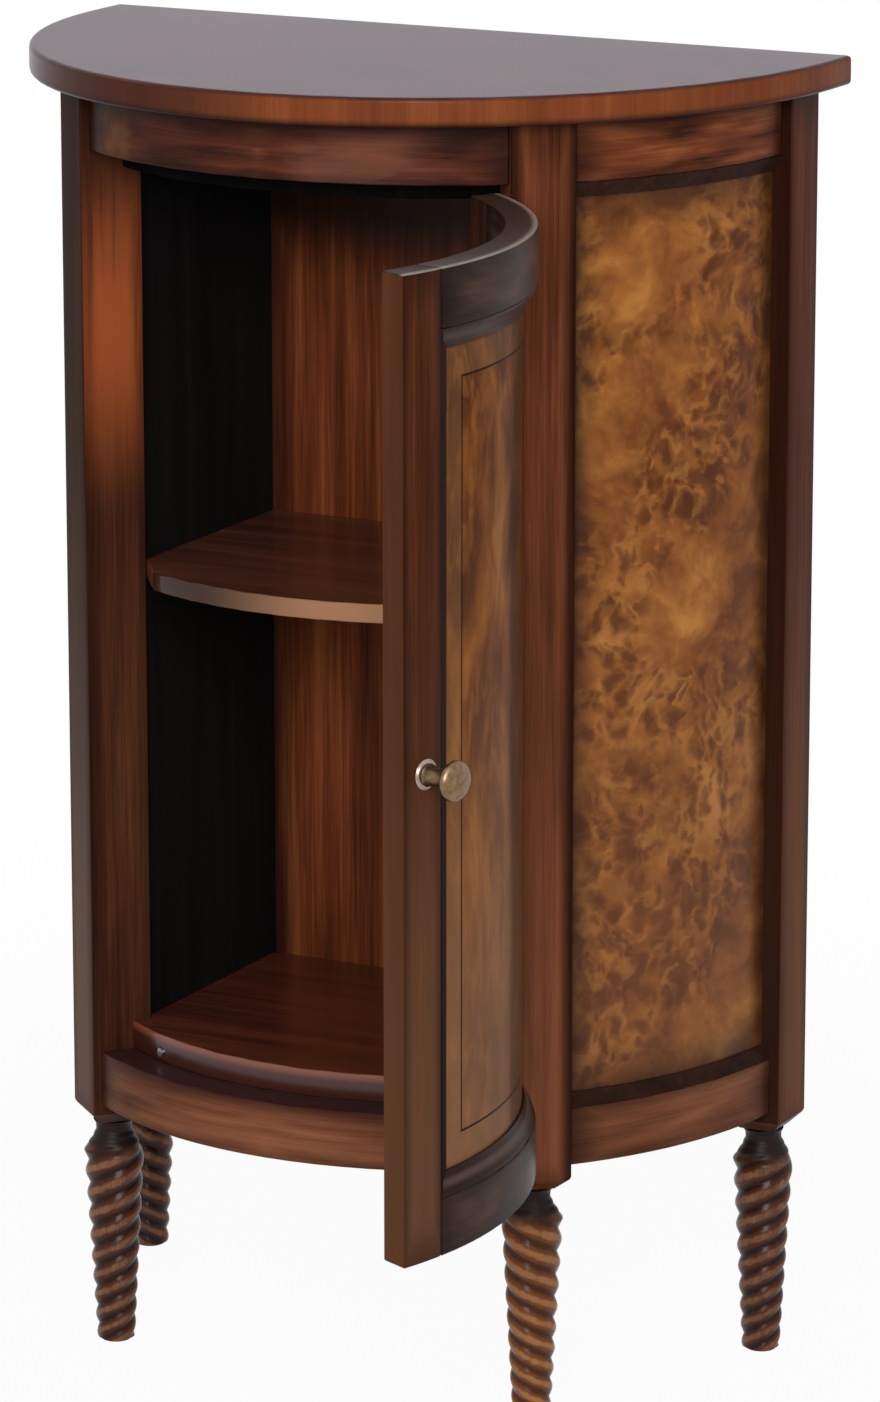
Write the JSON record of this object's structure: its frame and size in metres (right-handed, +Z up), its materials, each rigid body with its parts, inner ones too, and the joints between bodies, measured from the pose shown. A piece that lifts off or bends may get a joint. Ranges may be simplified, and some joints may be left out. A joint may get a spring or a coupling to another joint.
{
  "type": "demilune cabinet",
  "caption": "Half-round cabinet with a curved hinged door, a shelf inside, curved side panels and tapered legs carved with a rope twist.",
  "frame": {"origin": "on the floor, at the middle of the box that holds the cabinet with its door open as in the picture", "axes": "+Z up; the front of the cabinet looks along -Y, its straight back along +Y; +X to the right of someone facing the front"},
  "size_m": [0.5656, 0.5722, 0.9],
  "materials": {
    "mahogany": "satin varnish over red-brown mahogany",
    "top_veneer": "polished dark veneer",
    "burl_veneer": "varnished golden burl, shaded darker at the edges",
    "carved_leg": "varnished, dark glaze in the grooves",
    "inside_dark": "near-black stain",
    "inside_wood": "satin red-brown veneer",
    "knob_metal": "antique nickel",
    "hinge_brass": "dulled brass",
    "catch_steel": "bright nickel-plated steel"
  },
  "bodies": {
    "carcass": {"top_board": "top_veneer", "upper_board": "inside_dark", "floor_board": "inside_wood", "shelf": "inside_wood", "back_panel": "inside_wood", "back_rail_top": "mahogany", "back_rail_bottom": "mahogany", "inner_wall_left": "inside_dark", "inner_wall_right": "inside_dark", "frieze_rail_front": "mahogany", "frieze_rail_left": "mahogany", "frieze_rail_right": "mahogany", "base_rail_front": "mahogany", "base_rail_left": "mahogany", "base_rail_right": "mahogany", "post_front_left": "mahogany", "post_front_right": "mahogany", "post_back_left": "mahogany", "post_back_right": "mahogany", "leg_front_left": "carved_leg", "leg_front_right": "carved_leg", "leg_back_left": "carved_leg", "leg_back_right": "carved_leg", "side_panel_left": "burl_veneer", "side_panel_right": "burl_veneer", "side_moulding_top_left": "mahogany", "side_moulding_top_right": "mahogany", "side_moulding_bottom_left": "mahogany", "side_moulding_bottom_right": "mahogany", "shelf_pin_front_left": "catch_steel", "shelf_pin_front_right": "catch_steel", "shelf_pin_back_left": "catch_steel", "shelf_pin_back_right": "catch_steel", "catch_magnet": "catch_steel", "hinge_lower_post_leaf": "hinge_brass", "hinge_upper_post_leaf": "hinge_brass", "hinge_lower_pin": "hinge_brass", "hinge_upper_pin": "hinge_brass"},
    "door": {"door_stile_hinge": "mahogany", "door_stile_lock": "mahogany", "door_rail_top": "mahogany", "door_rail_bottom": "mahogany", "door_panel": "burl_veneer", "door_moulding_top": "mahogany", "door_moulding_bottom": "mahogany", "door_moulding_hinge": "mahogany", "door_moulding_lock": "mahogany", "door_knob": "knob_metal", "knob_rosette": "knob_metal", "knob_screw": "catch_steel", "catch_strike": "catch_steel", "hinge_lower_door_leaf": "hinge_brass", "hinge_upper_door_leaf": "hinge_brass"}
  },
  "joints": [
    {"name": "door_hinge", "type": "hinge", "parent": "carcass", "child": "door", "pos_m": [0.16332, 0.02231, 0], "axis": [0, 0, 1], "range_deg": [-106.5, 68.5]}
  ]
}
